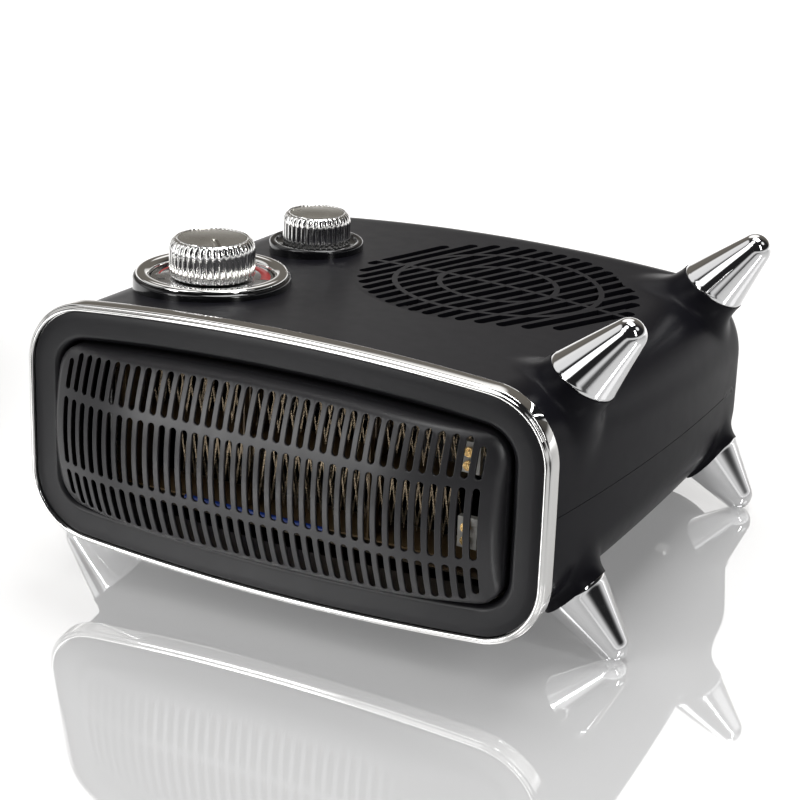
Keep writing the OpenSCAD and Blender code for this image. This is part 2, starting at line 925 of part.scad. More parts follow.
// Bush where the supply cord leaves the back of the case
module cord_gland() {
  color([0.04, 0.04, 0.04])
    translate([-86, case_depth, -24])
      rotate([90, 0, 0])
        difference() {
          union() {
            translate([0, 0, -3]) cylinder(r1 = 7, r2 = 8.6, h = 2.8);
            translate([0, 0, -0.2]) cylinder(r = 6, h = 12);
            translate([0, 0, 4.4]) cylinder(r = 7.8, h = 2);
          }
          translate([0, 0, -10]) cylinder(r = 3.6, h = 30);
        }
}

// Bar that clamps the supply cord inside the case
module cord_clamp() {
  color([0.1, 0.1, 0.1])
    difference() {
      translate([-96, 208, -30]) cube([20, 7, 6]);
      translate([-86, 200, -24])
        rotate([-90, 0, 0])
          cylinder(r = 3.4, h = 30, $fn = 48);
      for (i = [-1, 1])
        translate([-86 + i * 7, 211.5, -40]) cylinder(r = 1.4, h = 30, $fn = 24);
    }
}

lean() upper_case();
lean() lower_case();
lean() chrome_ring();
lean() front_bezel();
lean() front_grille();
lean() leg_upper_front();
lean() leg_upper_rear();
lean() leg_lower_front_right();
lean() leg_lower_rear_right();
lean() leg_lower_front_left();
lean() leg_lower_rear_left();
lean() leg_screws();
lean() dial_collar();
lean() dial_ring();
lean() dial_plate();
lean() thermostat_knob();
lean() thermostat_knob_cap();
lean() thermostat_spindle();
lean() thermostat_body();
lean() selector_collar();
lean() selector_knob();
lean() selector_knob_cap();
lean() selector_spindle();
lean() selector_switch();
lean() fan_wheel();
lean() motor_shaft();
lean() motor_rotor();
lean() motor_stator();
lean() motor_coil();
lean() motor_bridge();
lean() motor_screws();
lean() fan_scroll();
lean() scroll_cover();
lean() element_duct();
lean() mica_boards();
lean() heating_wire_upper();
lean() heating_wire_lower();
lean() ceramic_holder();
lean() terminals();
lean() thermal_cutout();
lean() thermal_fuse();
lean() motor_lead();
lean() cord_gland();
lean() cord_clamp();
lean() case_screws();
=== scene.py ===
"""Looks of the fan heater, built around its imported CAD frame.

Shapes are worked out in millimetres in the leaning frame of the case (X right, Y back, Z up, zero in the
middle of the chrome ring) and turned into the row frame, in metres, when a mesh is made.
"""
import math

import bmesh
import bpy
import numpy as np
from mathutils import Matrix, Quaternion, Vector
from mathutils.bvhtree import BVHTree
from mathutils.interpolate import poly_3d_calc

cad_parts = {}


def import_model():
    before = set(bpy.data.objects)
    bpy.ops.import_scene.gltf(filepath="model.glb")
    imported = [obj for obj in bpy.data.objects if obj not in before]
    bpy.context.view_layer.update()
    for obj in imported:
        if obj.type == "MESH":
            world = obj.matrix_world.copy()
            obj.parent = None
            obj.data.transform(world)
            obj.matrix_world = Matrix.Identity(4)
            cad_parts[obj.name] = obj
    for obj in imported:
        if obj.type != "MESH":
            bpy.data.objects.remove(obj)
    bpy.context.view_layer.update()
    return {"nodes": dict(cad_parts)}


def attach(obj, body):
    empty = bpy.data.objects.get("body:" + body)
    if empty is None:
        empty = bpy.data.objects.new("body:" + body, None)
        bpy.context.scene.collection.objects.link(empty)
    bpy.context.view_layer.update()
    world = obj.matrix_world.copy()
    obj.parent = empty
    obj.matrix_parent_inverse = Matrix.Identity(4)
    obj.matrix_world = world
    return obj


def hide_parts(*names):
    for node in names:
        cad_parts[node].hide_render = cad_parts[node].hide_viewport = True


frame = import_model()

LEAN = math.radians(5.84)  # the body leans back on its legs
SHIFT, HEIGHT = -108.0, 79.7  # middle of the chrome ring: along Y, and above the floor
RING_A, RING_B, RING_CORNER = 125.0, 57.4, 28.0  # half width, half height and corner of the ring's opening
LONG_R, SHORT_R = 1150.0, 5500.0  # bow of its long and short sides
BAND, GAP = 14.0, 1.2  # black band round the outlet, and the groove inside it
DIAL_Z = 54.0  # top of the case under the dials
THERMOSTAT, SELECTOR, FAN = (-74.3, 66.7), (-69.3, 153.5), (34.5, 144.0)  # axes, as (x, y)
INTAKE_R, INTAKE_PITCH, INTAKE_OPEN, INTAKE_TURN = 67.4, 7.6, 0.68, -19  # slots and their turn
RIB_HALF = 1.3  # half width of the ribs across the intake slots
PARTING, WALL = -2.0, 2.4  # height of the seam between the case halves; wall of the case
SEAM = 0.14  # half of the seam's opening
CASE_FRONT, CASE_SPAN, CASE_DEPTH, CASE_ROUND = 6.0, 200.0, 238.0, 21.0
CASE_LONG_R, CASE_SHORT_R = 1100, 5500  # bow of the case's long and short sides
LEG_ANGLE = math.radians(48)  # of the legs, above or below level


# ---------------------------------------------------------------- helpers
def world(points):
    """Points of the leaning frame, in mm, as row-frame points in metres."""
    p = np.asarray(points, float).reshape(-1, 3)
    c, s = math.cos(LEAN), math.sin(LEAN)
    return np.stack([p[:, 0], p[:, 1] * c + p[:, 2] * s + SHIFT,
                     -p[:, 1] * s + p[:, 2] * c + HEIGHT], 1) / 1000


def make(name, verts, faces, mat, body="housing", slot=None, nodes=(), sharp=None, lean=True):
    """A mesh piece that rides on a body and stands for the given CAD nodes."""
    mesh = bpy.data.meshes.new(name)
    pts = world(verts) if lean else np.asarray(verts, float) / 1000
    mesh.from_pydata(pts.tolist(), [], [list(f) for f in faces])
    mesh.materials.append(mat)
    bm = bmesh.new()
    bm.from_mesh(mesh)
    bmesh.ops.remove_doubles(bm, verts=bm.verts, dist=2e-6)
    bmesh.ops.recalc_face_normals(bm, faces=bm.faces)
    bm.to_mesh(mesh)
    bm.free()
    mesh.polygons.foreach_set("use_smooth", [True] * len(mesh.polygons))
    if sharp:
        mesh.set_sharp_from_angle(angle=math.radians(sharp))
    ob = bpy.data.objects.new(name, mesh)
    bpy.context.scene.collection.objects.link(ob)
    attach(ob, body)
    if nodes:
        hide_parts(*nodes)
    return ob


def quads(rows, cols, wrap_rows=False, wrap_cols=True, first=0):
    """Faces of a grid whose vertices are stored row by row."""
    out = []
    for i in range(rows if wrap_rows else rows - 1):
        for j in range(cols if wrap_cols else cols - 1):
            a, b = i * cols + j, i * cols + (j + 1) % cols
            k = (i + 1) % rows
            out.append((first + a, first + b, first + k * cols + (j + 1) % cols, first + k * cols + j))
    return out


def bowed(a, b, rc, rt, rs, n=(22, 18, 10)):
    """Closed outline of a rounded rectangle with bowed sides, as (x, z) points."""
    p, q = np.array([0, b - rt]), np.array([a - rs, 0])
    d = q - p
    dist, r1, r2 = np.hypot(*d), rt - rc, rs - rc
    x = (dist ** 2 + r1 ** 2 - r2 ** 2) / (2 * dist)
    h = math.sqrt(max(r1 ** 2 - x ** 2, 0))
    e = d / dist
    side = 1 if e[0] - e[1] > 0 else -1
    c = p + e * x + np.array([-e[1], e[0]]) * h * side
    t = math.atan2(c[1] - p[1], c[0] - p[0])
    u = math.atan2(c[1] - q[1], c[0] - q[0])

    def arc(o, r, t1, t2, k, last):
        s = np.linspace(t1, t2, k + 1)[: None if last else -1]
        return np.stack([o[0] + r * np.cos(s), o[1] + r * np.sin(s)], 1)
    g = np.concatenate([arc(p, rt, math.pi / 2, t, n[0], False), arc(c, rc, t, u, n[1], False),
                        arc(q, rs, u, 0, n[2], True)])
    return np.concatenate([g, g[-2::-1] * [1, -1], g[1:] * [-1, -1], g[-2:0:-1] * [-1, 1]])


def opening(inset, n=(22, 18, 10)):
    """Outline of the ring's opening, drawn in by inset; a negative inset lies outside it."""
    return bowed(RING_A - inset, RING_B - inset, RING_CORNER - inset, LONG_R - inset, SHORT_R - inset, n)


def loop(xz, y):
    """An (x, z) outline as 3-D points at distance y."""
    return np.stack([xz[:, 0], np.full(len(xz), float(y)), xz[:, 1]], 1)


def swept(name, profile, mat, **kw):
    """Closed solid swept round the ring's outline; profile is a closed list of (inset, y)."""
    rows = [loop(opening(i), y) for i, y in profile]
    return make(name, np.concatenate(rows), quads(len(rows), len(rows[0]), wrap_rows=True), mat, **kw)


def arc_pts(cx, cy, r, a0, a1, n, ry=None):
    """Points of an arc between two angles in degrees; ry makes it part of an ellipse."""
    angles = [math.radians(a0 + (a1 - a0) * i / n) for i in range(n + 1)]
    return [(cx + r * math.cos(a), cy + (ry or r) * math.sin(a)) for a in angles]


def lathe(profile, n=128, radius_fn=None):
    """Vertices and faces of a profile (r, z) turned round Z; radius_fn(r, z, angle) may flute it."""
    ang = np.linspace(0, 2 * math.pi, n, endpoint=False)
    rows = []
    for r, z in profile:
        rr = np.full(n, float(r)) if radius_fn is None else radius_fn(r, z, ang)
        rows.append(np.stack([rr * np.cos(ang), rr * np.sin(ang), np.full(n, float(z))], 1))
    faces = quads(len(rows), n)
    if profile[0][0] > 1e-6:
        faces.append(tuple(range(n)))
    if profile[-1][0] > 1e-6:
        faces.append(tuple((len(rows) - 1) * n + k for k in range(n)))
    return np.concatenate(rows), faces


def spun(points, angle):
    """Points of a plane turned round its origin."""
    c, k = math.cos(angle), math.sin(angle)
    return np.stack([points[:, 0] * c - points[:, 1] * k, points[:, 0] * k + points[:, 1] * c], 1)


def at(verts, place, z=0.0):
    """Vertices moved onto an axis, z up from the ring's middle."""
    return verts + np.array([place[0], place[1], z])


def joined(parts):
    """Several (verts, faces) as one."""
    vs, fs, k = [], [], 0
    for v, f in parts:
        vs.append(v)
        fs += [tuple(i + k for i in face) for face in f]
        k += len(v)
    return np.concatenate(vs), fs


# ---------------------------------------------------------------- materials
def nodes_of(mat):
    """Nodes, links and main shader of a material."""
    mat.use_nodes = True
    return mat.node_tree.nodes, mat.node_tree.links, mat.node_tree.nodes["Principled BSDF"]


def material(name, base, rough, metal=0.0, spec=0.5, grain=0.0, grain_scale=1800.0, vary=0.08,
             rough_vary=0.05, coat=0.0, smudge=45.0, stretch=(1, 1, 1), tint=None):
    """Principled material with mottled colour, uneven gloss and a fine moulded or rolled grain."""
    mat = bpy.data.materials.new(name)
    nd, ln, bsdf = nodes_of(mat)
    bsdf.inputs["Metallic"].default_value = metal
    bsdf.inputs["Specular IOR Level"].default_value = spec
    bsdf.inputs["Coat Weight"].default_value = coat
    bsdf.inputs["Coat Roughness"].default_value = 0.04
    tc = nd.new("ShaderNodeTexCoord")
    mp = nd.new("ShaderNodeMapping")
    mp.inputs["Scale"].default_value = stretch
    ln.new(tc.outputs["Object"], mp.inputs["Vector"])

    def noise(scale, detail=4.0):
        t = nd.new("ShaderNodeTexNoise")
        t.inputs["Scale"].default_value = scale
        t.inputs["Detail"].default_value = detail
        ln.new(mp.outputs["Vector"], t.inputs["Vector"])
        return t.outputs["Fac"]

    big = noise(smudge, 5.0)
    ramp = nd.new("ShaderNodeMix")
    ramp.data_type = "RGBA"
    other = tint or tuple(min(1.0, c * (1 + 2.2 * vary)) for c in base)
    ramp.inputs["A"].default_value = (*[c * (1 - vary) for c in base], 1)
    ramp.inputs["B"].default_value = (*other, 1)
    ln.new(big, ramp.inputs["Factor"])
    ln.new(ramp.outputs["Result"], bsdf.inputs["Base Color"])
    rr = nd.new("ShaderNodeMapRange")
    rr.inputs["From Min"].default_value, rr.inputs["From Max"].default_value = 0.3, 0.7
    rr.inputs["To Min"].default_value = max(0.0, rough - rough_vary)
    rr.inputs["To Max"].default_value = min(1.0, rough + rough_vary)
    ln.new(noise(smudge * 3.1, 6.0), rr.inputs["Value"])
    ln.new(rr.outputs["Result"], bsdf.inputs["Roughness"])
    if grain:
        b = nd.new("ShaderNodeBump")
        b.inputs["Strength"].default_value = grain
        b.inputs["Distance"].default_value = 0.0002
        ln.new(noise(grain_scale, 3.0), b.inputs["Height"])
        ln.new(b.outputs["Normal"], bsdf.inputs["Normal"])
    return mat


M = {
    "case": material("case_plastic", (0.0088, 0.0085, 0.0112), 0.33, spec=0.06, grain=0.08, vary=0.06,
                     rough_vary=0.02),
    "bezel": material("bezel_plastic", (0.009, 0.0088, 0.0105), 0.33, spec=0.30, grain=0.05, vary=0.05,
                      rough_vary=0.02),
    "grille": material("grille_plastic", (0.016, 0.0155, 0.0175), 0.36, spec=0.6, grain=0.06, vary=0.05,
                       rough_vary=0.02),
    "gloss": material("gloss_black", (0.006, 0.006, 0.007), 0.10, spec=0.5, vary=0.1, coat=0.4,
                      rough_vary=0.03),
    "chrome": material("chrome", (0.83, 0.825, 0.81), 0.045, metal=1, vary=0.02, rough_vary=0.02),
    "leg": material("leg_chrome", (0.86, 0.86, 0.865), 0.05, metal=1, vary=0.015, rough_vary=0.02),
    "knob": material("knob_chrome", (0.88, 0.875, 0.86), 0.13, metal=1, vary=0.03, rough_vary=0.015),
    "cap": material("satin_cap", (0.46, 0.445, 0.40), 0.24, metal=1, vary=0.03, rough_vary=0.02),
    "plate": material("dial_plate", (0.60, 0.60, 0.61), 0.18, metal=1, vary=0.05),
    "red": material("dial_red", (0.42, 0.03, 0.03), 0.35, vary=0.15),
    "ink": material("dial_ink", (0.03, 0.03, 0.03), 0.4, vary=0.1),
    "steel": material("steel", (0.52, 0.52, 0.53), 0.3, metal=1, vary=0.08, grain=0.08),
    "zinc": material("zinc_screw", (0.58, 0.58, 0.56), 0.35, metal=1, vary=0.1, grain=0.1),
    "brass": material("brass", (0.72, 0.48, 0.20), 0.28, metal=1, vary=0.1),
    "matte": material("black_plastic", (0.018, 0.018, 0.019), 0.5, grain=0.15, vary=0.1),
    "inner": material("inner_plastic", (0.010, 0.010, 0.011), 0.55, grain=0.12, vary=0.1),
    "alu": material("cast_aluminium", (0.6, 0.6, 0.62), 0.4, metal=1, vary=0.1, grain=0.2),
    "iron": material("laminations", (0.2, 0.2, 0.21), 0.5, metal=0.8, vary=0.15, grain=0.3,
                     stretch=(1, 1, 12)),
    "copper": material("copper_winding", (0.55, 0.23, 0.09), 0.35, metal=1, vary=0.2, grain=0.4,
                       grain_scale=900, stretch=(1, 1, 6)),
    "duct": material("aluminised_sheet", (0.50, 0.44, 0.35), 0.3, metal=1, vary=0.15, rough_vary=0.08),
    "mica": material("mica", (0.16, 0.10, 0.045), 0.35, vary=0.3, grain=0.2, grain_scale=400,
                     tint=(0.30, 0.20, 0.09)),
    "wire": material("resistance_wire", (0.10, 0.08, 0.055), 0.26, metal=1, vary=0.3, smudge=120,
                     tint=(0.28, 0.22, 0.15)),
    "ceramic": material("ceramic", (0.75, 0.74, 0.70), 0.35, vary=0.05, coat=0.3),
    "blue": material("blue_lead", (0.01, 0.06, 0.42), 0.3, vary=0.1),
    "rubber": material("rubber", (0.02, 0.02, 0.02), 0.6, grain=0.2, vary=0.1),
}

CAD_MATERIAL = {
    "zinc": ["leg_screws", "motor_screws", "case_screws"],
    "steel": ["thermostat_spindle", "motor_shaft", "motor_bridge"],
    "brass": ["thermostat_body", "terminals"],
    "matte": ["selector_switch", "selector_spindle", "thermal_cutout", "cord_clamp"],
    "inner": ["fan_wheel", "fan_scroll", "scroll_cover"],
    "alu": ["motor_rotor", "thermal_fuse"],
    "iron": ["motor_stator"], "copper": ["motor_coil"], "duct": ["element_duct"],
    "mica": ["mica_boards"], "wire": ["heating_wire_upper", "heating_wire_lower"],
    "ceramic": ["ceramic_holder"], "blue": ["motor_lead"], "rubber": ["cord_gland"],
    "case": ["upper_case", "lower_case"], "chrome": ["chrome_ring", "dial_ring"],
    "bezel": ["front_bezel"], "grille": ["front_grille"], "gloss": ["dial_collar", "selector_collar"],
    "plate": ["dial_plate"], "knob": ["thermostat_knob", "selector_knob"],
    "cap": ["thermostat_knob_cap", "selector_knob_cap"],
    "leg": ["leg_upper_front", "leg_upper_rear", "leg_lower_front_right", "leg_lower_rear_right",
            "leg_lower_front_left", "leg_lower_rear_left"],
}
for key, names in CAD_MATERIAL.items():
    for name in names:
        mesh = frame["nodes"][name].data
        mesh.materials.clear()
        mesh.materials.append(M[key])


# ---------------------------------------------------------------- front: ring, band and grille
ring_profile = [(0.0, 6.4), (0.0, -0.9)]
ring_profile += [(-1.1 + x, y) for x, y in arc_pts(0, -1.2, 1.05, 0, -165, 14)]
ring_profile += [(-2.2, -0.98), (-2.6, -0.95), (-2.95, -0.8), (-3.2, -0.5), (-3.3, -0.1), (-3.35, 0.4)]
ring_profile += [(-3.45, 2.8), (-3.55, 5.6), (-3.5, 6.2), (-3.1, 6.4)]
swept("chrome_ring_bead", ring_profile, M["chrome"], slot="chrome", nodes=("chrome_ring",))

bezel_profile = [(0.25, 2.2), (0.25, -0.45), (0.4, -0.72), (0.7, -0.8), (5.0, -0.95), (10.4, -0.8)]
bezel_profile += [(10.6 + x, 2.4 + y) for x, y in arc_pts(0, 0, 3.2, -84, 0, 10)]
bezel_profile += [(13.9, 6.0), (14.0, 15.5), (12.6, 16.0), (11.8, 15.5), (11.8, 4.6), (3.6, 4.6), (3.6, 2.2)]
swept("front_band", bezel_profile, M["bezel"], slot="bezel", nodes=("front_bezel",))

GRILLE_EDGE = BAND + GAP
PANEL = 1.5  # thickness
DOME_R, END_START, END_R, FACE_Y = 85.0, 56.0, 125.0, -20.0  # dome; the ends curve back past END_START
EDGE_ROLL, EDGE_Y = 3.4, -1.2  # the face rolls back to EDGE_Y over its last EDGE_ROLL
SLOT_W, PITCH, LIFT, COLS = 3.0, 5.57, 0.8, 37
HALF_COLS = (COLS - 1) // 2
ROW_EDGE = 17.25  # middle of the bars between the rows of slots
MID_HALF, OUTER_FROM, OUTER_TO = 15.6, 18.9, 38.4  # ends of the slots, from the middle of the rows
END_CUT, SLOT_BOW = 6.4, 2900  # the outer rows get shorter towards the ends
CELL_INSET = GRILLE_EDGE + 1.9
panel_outline = opening(GRILLE_EDGE, (60, 24, 12))


def edge_distance(x, z):
    """Distance inwards from the panel's outline."""
    p = np.stack([np.ravel(x), np.ravel(z)], 1)
    a = panel_outline
    b = np.roll(a, -1, 0)
    d = b - a
    best = np.full(len(p), 1e9)
    for a0, d0 in zip(a, d):
        t = np.clip(((p - a0) @ d0) / (d0 @ d0), 0, 1)
        best = np.minimum(best, np.hypot(*(p - a0 - t[:, None] * d0).T))
    return best.reshape(np.shape(x))


def face_y(x, z):
    """Front face of the domed panel, rolled back to its outline."""
    x, z = np.asarray(x, float), np.asarray(z, float)
    e = np.maximum(np.abs(x) - END_START, 0)
    dome = FACE_Y + z ** 2 / (2 * DOME_R) + e ** 2 / (2 * END_R)
    s = np.clip(1 - edge_distance(x, z) / EDGE_ROLL, 0, 1)
    return dome + np.maximum(0, EDGE_Y - dome) * (1 - np.sqrt(1 - s * s))


def outline_height(x, inset):
    """Height of the outline's upper edge at x."""
    p = opening(inset, (60, 24, 12))
    q = p[(p[:, 0] >= 0) & (p[:, 1] >= 0)]
    order = np.argsort(q[:, 0])
    return np.interp(np.abs(x), q[order, 0], q[order, 1])


def slot_range(i, row):
    """Lowest and highest point of a slot, from the ring centre."""
    x = i * PITCH
    cut = END_CUT if abs(i) == HALF_COLS else x * x / SLOT_BOW
    low, high = ((-OUTER_TO + cut, -OUTER_FROM), (-MID_HALF, MID_HALF), (OUTER_FROM, OUTER_TO - cut))[row]
    return low + LIFT, high + LIFT


CELL_ARCS, CELL_SIDES = 8, 8


def cell_side(z_from, z_to):
    """Heights strictly between two heights, down one side of a cell."""
    return z_from + (z_to - z_from) * np.arange(1, CELL_SIDES) / CELL_SIDES


def capsule(cx, lo, hi, grow):
    """Outline of a slot with round ends, made wider all round by grow."""
    r = SLOT_W / 2
    a = np.pi * np.arange(CELL_ARCS + 1) / CELL_ARCS
    left = np.full(CELL_SIDES - 1, cx - r - grow)
    across, up = (r + grow) * np.cos(a), (r + grow) * np.sin(a)
    x = np.concatenate([cx + across, left, cx - across, left + 2 * (r + grow)])
    z = np.concatenate([hi - r + up, cell_side(hi - r, lo + r), lo + r - up, cell_side(lo + r, hi - r)])
    return np.stack([x, z], 1)


def cell_edge(cx, row):
    """Outline of the cell round a slot, point for point like the slot's own."""
    w = PITCH / 2
    top_x = cx + w - np.arange(CELL_ARCS + 1) * 2 * w / CELL_ARCS
    top, bottom = ((-ROW_EDGE, None), (ROW_EDGE, -ROW_EDGE), (None, ROW_EDGE))[row]
    reach = outline_height(top_x, CELL_INSET)
    roof = reach if top is None else np.full(len(top_x), LIFT + top)
    sill = -reach if bottom is None else np.full(len(top_x), LIFT + bottom)
    x = np.concatenate([top_x, np.full(CELL_SIDES - 1, cx - w), top_x[::-1], np.full(CELL_SIDES - 1, cx + w)])
    z = np.concatenate([roof, cell_side(roof[-1], sill[-1]), sill[::-1], cell_side(sill[0], roof[0])])
    return np.stack([x, z], 1)


def slot_cells():
    """Slotted middle of the panel: every slot in a cell of its own, with a rounded lip and a wall."""
    lip = ((0.30, 0.0), (0.16, 0.04), (0.05, 0.13), (0.0, 0.30), (0.0, PANEL - 0.3), (0.25, PANEL))
    verts, faces = [], []
    for i in range(-HALF_COLS, HALF_COLS + 1):
        for row in range(3):
            cx, (lo, hi) = i * PITCH, slot_range(i, row)
            edge = cell_edge(cx, row)
            rings = [(capsule(cx, lo, hi, grow), depth) for grow, depth in lip]
            rings = [(edge, 0.0)] + rings + [(edge, PANEL)]
            first = len(verts)
            for p, depth in rings:
                verts += list(zip(p[:, 0], face_y(p[:, 0], p[:, 1]) + depth, p[:, 1]))
            faces += quads(len(rings), len(edge), first=first)
    return verts, faces


def rim_start():
    """Outline of the slotted middle, and the same points moved out to a smooth curve round it."""
    half_x, steps = COLS * PITCH / 2, 24
    xs = half_x - np.arange(COLS * 8 + 1) * PITCH / 8
    top = np.stack([xs, outline_height(xs, CELL_INSET)], 1)
    z_end = top[-1, 1]
    side_z = z_end - 2 * z_end * np.arange(1, steps) / steps
    inner = np.concatenate([top, np.stack([np.full(steps - 1, -half_x), side_z], 1), top[::-1] * [1, -1],
                            np.stack([np.full(steps - 1, half_x), -side_z], 1)])
    curve = opening(CELL_INSET, (90, 40, 16))
    ends = curve[(curve[:, 0] < -half_x)]
    reach = np.concatenate([[0], np.cumsum(np.hypot(*np.diff(ends, axis=0).T))])
    goal = np.linspace(0, reach[-1], steps + 1)[1:-1]
    bulge = np.stack([np.interp(goal, reach, ends[:, 0]), np.interp(goal, reach, ends[:, 1])], 1)
    if bulge[0, 1] < 0:
        bulge = bulge[::-1]
    return inner, np.concatenate([top, bulge, top[::-1] * [1, -1], bulge[::-1] * [-1, 1]])


def outward(outline):
    """Unit normals of a closed outline."""
    t = np.roll(outline, -1, 0) - np.roll(outline, 1, 0)
    n = np.stack([t[:, 1], -t[:, 0]], 1) / np.hypot(*t.T)[:, None]
    return n if (n * outline).sum() > 0 else -n


def on_panel(p, y=None):
    """An (x, z) outline as 3-D points on the panel's face, or at the given y."""
    return np.stack([p[:, 0], face_y(*p.T) if y is None else y, p[:, 1]], 1)


def panel_rim():
    """Strip from the slotted middle out to the outline, round the edge and back into the case."""
    inner, middle = rim_start()
    n, rim_width, skirt_end, inside = outward(middle), 1.9, 12.0, -6.0
    rows = [on_panel(inner), on_panel(inner * 0.5 + middle * 0.5)]
    rows += [on_panel(middle + n * s) for s in (0, 0.35, 0.7, 1.0, 1.3, 1.5, 1.65, 1.76, 1.84, 1.89)]
    rows += [loop(middle + n * rim_width, y) for y in (EDGE_Y + 0.1, 3.0, skirt_end)]
    rows.append(loop(middle + n * 0.2, skirt_end))
    rows.append(on_panel(middle, np.maximum(face_y(*middle.T) + PANEL, inside)))
    rows.append(on_panel(inner, face_y(*inner.T) + PANEL))
    return np.concatenate(rows), quads(len(rows), len(inner))


panel_verts, panel_faces = joined([slot_cells(), panel_rim()])
panel = make("outlet_panel", panel_verts, panel_faces, M["grille"], slot="grille", nodes=("front_grille",),
             sharp=60)


def local_points(mesh):
    """Vertices of a finished piece back in the leaning frame, in mm."""
    p = np.empty(len(mesh.vertices) * 3)
    mesh.vertices.foreach_get("co", p)
    p = p.reshape(-1, 3) * 1000 - [0, SHIFT, HEIGHT]
    c, k = math.cos(LEAN), math.sin(LEAN)
    return np.stack([p[:, 0], p[:, 1] * c - p[:, 2] * k, p[:, 1] * k + p[:, 2] * c], 1)


def to_world_dir(n):
    """Directions of the leaning frame turned into the row frame."""
    c, k = math.cos(LEAN), math.sin(LEAN)
    return np.stack([n[:, 0], n[:, 1] * c + n[:, 2] * k, -n[:, 1] * k + n[:, 2] * c], 1)


def corner_data(mesh):
    """Corner normals, the vertex of each corner and the normal of its face."""
    count = len(mesh.loops)
    normals, verts = np.empty(count * 3), np.empty(count, np.int32)
    mesh.corner_normals.foreach_get("vector", normals)
    mesh.loops.foreach_get("vertex_index", verts)
    face_n, totals = np.empty(len(mesh.polygons) * 3), np.empty(len(mesh.polygons), np.int32)
    mesh.polygons.foreach_get("normal", face_n)
    mesh.polygons.foreach_get("loop_total", totals)
    return normals.reshape(-1, 3), verts, np.repeat(face_n.reshape(-1, 3), totals, 0)


def shade_as_dome(ob):
    """Shades the front of the panel with the slope of its own curve, so that the cells don't show."""
    p = local_points(ob.data)
    h = 0.05
    slope_x = (face_y(p[:, 0] + h, p[:, 2]) - face_y(p[:, 0] - h, p[:, 2])) / (2 * h)
    slope_z = (face_y(p[:, 0], p[:, 2] + h) - face_y(p[:, 0], p[:, 2] - h)) / (2 * h)
    n = np.stack([slope_x, -np.ones(len(p)), slope_z], 1)
    n = to_world_dir(n / np.linalg.norm(n, axis=1)[:, None])
    on_face = np.abs(p[:, 1] - face_y(p[:, 0], p[:, 2])) < 0.02
    normals, verts, flat = corner_data(ob.data)
    use = on_face[verts] & ((flat * n[verts]).sum(1) > 0.85)
    normals[use] = n[verts][use]
    ob.data.normals_split_custom_set(normals.tolist())


shade_as_dome(panel)


# ---------------------------------------------------------------- legs
LEGS = {  # side, y and z of the centre of the ball at the tip, and length from there to the base
    "leg_upper_front": (1, 44, 72.9, 28), "leg_upper_rear": (1, 200, 72.9, 28),
    "leg_lower_front_right": (1, 50.3, -67.75, 28), "leg_lower_rear_right": (1, 205.9, -51.8, 24),
    "leg_lower_front_left": (-1, 50.3, -67.75, 28), "leg_lower_rear_left": (-1, 205.9, -51.8, 24),
}
TIP_X, TIP_R, BASE_R = 139.4, 7.4, 15.2
BASE_SLANT = math.radians(12)  # the upper legs are cut off at a slant


def leg_frame(leg):
    """Base point and the two side vectors and the axis of a leg."""
    side, y, z, length = leg
    d = np.array([side * math.cos(LEG_ANGLE), 0, math.copysign(math.sin(LEG_ANGLE), z)])
    base = np.array([side * TIP_X, y, z]) - length * d
    u = np.array([0.0, 1.0, 0.0])
    return base, np.cross(u, d), u, d


def slant(leg):
    """Rise of a leg's base plane per mm along its first side vector."""
    _, a, _, d = leg_frame(leg)
    up = LEG_ANGLE + (BASE_SLANT if leg[2] > 0 else 0)
    m = np.array([leg[0] * math.cos(up), 0, math.copysign(math.sin(up), leg[2])])
    return -(a @ m) / (d @ m)


def placed(local, leg):
    """Points of a leg, built along Z from its base, in the leaning frame."""
    base, a, b, d = leg_frame(leg)
    return base + local[:, :1] * a + local[:, 1:2] * b + local[:, 2:] * d


def chrome_leg(name, leg):
    """Cone with a rolled base edge and a ball end, flat where it stands on the floor."""
    length, cone_steps, ball_steps = leg[3], 24, 16
    slope = math.asin((BASE_R - TIP_R) / length)
    prof = [(0.0, 0.0), (BASE_R - 0.5, 0.0), (BASE_R - 0.15, 0.12), (BASE_R, 0.5)]
    t_end = length + TIP_R * math.sin(slope)
    for k in range(1, cone_steps + 1):
        t = 0.5 + (t_end - 0.5) * k / cone_steps
        prof.append((BASE_R + (TIP_R * math.cos(slope) - BASE_R) * t / t_end, t))
    for k in range(1, ball_steps + 1):
        a = slope + (math.pi / 2 - slope) * k / ball_steps
        prof.append((TIP_R * math.cos(a) if k < ball_steps else 0.0, length + TIP_R * math.sin(a)))
    v, f = lathe(prof, 144)
    v[:, 2] += slant(leg) * v[:, 0] * np.clip(1 - v[:, 2] / t_end, 0, 1)
    v = world(placed(v, leg)) * 1000
    v[:, 2] = np.maximum(v[:, 2], 0.0)
    make("chrome_" + name, v, f, M["leg"], slot="chrome_leg", nodes=(name,), lean=False, sharp=50)


for name, leg in LEGS.items():
    chrome_leg(name, leg)


# ---------------------------------------------------------------- case
CASE_SEGMENTS = (44, 24, 6)


def case_size(y):
    """Half width, half height and corner radius of the case at distance y."""
    s = (y - CASE_FRONT) / CASE_SPAN
    return 121.5 + 28 * s - 19 * s * s, 58.6 - 13.6 * s + 8 * s * s, 27 + 8 * s


def case_outline(y, inset):
    """Outline of the case in its own (x, z) plane at distance y, in mm."""
    end = CASE_DEPTH - inset
    w, h, r = case_size(min(y, end - CASE_ROUND))
    if y > end - CASE_ROUND:
        w, h, r = case_size(y)
    k = min(1.0, max(0.0, (y - end + CASE_ROUND) / CASE_ROUND))
    rounding = CASE_ROUND * (1 - math.sqrt(1 - k * k))
    corner = max(6, r - inset - rounding * 0.6)
    return bowed(w - inset - rounding, h - inset - rounding, corner, CASE_LONG_R, CASE_SHORT_R, CASE_SEGMENTS)


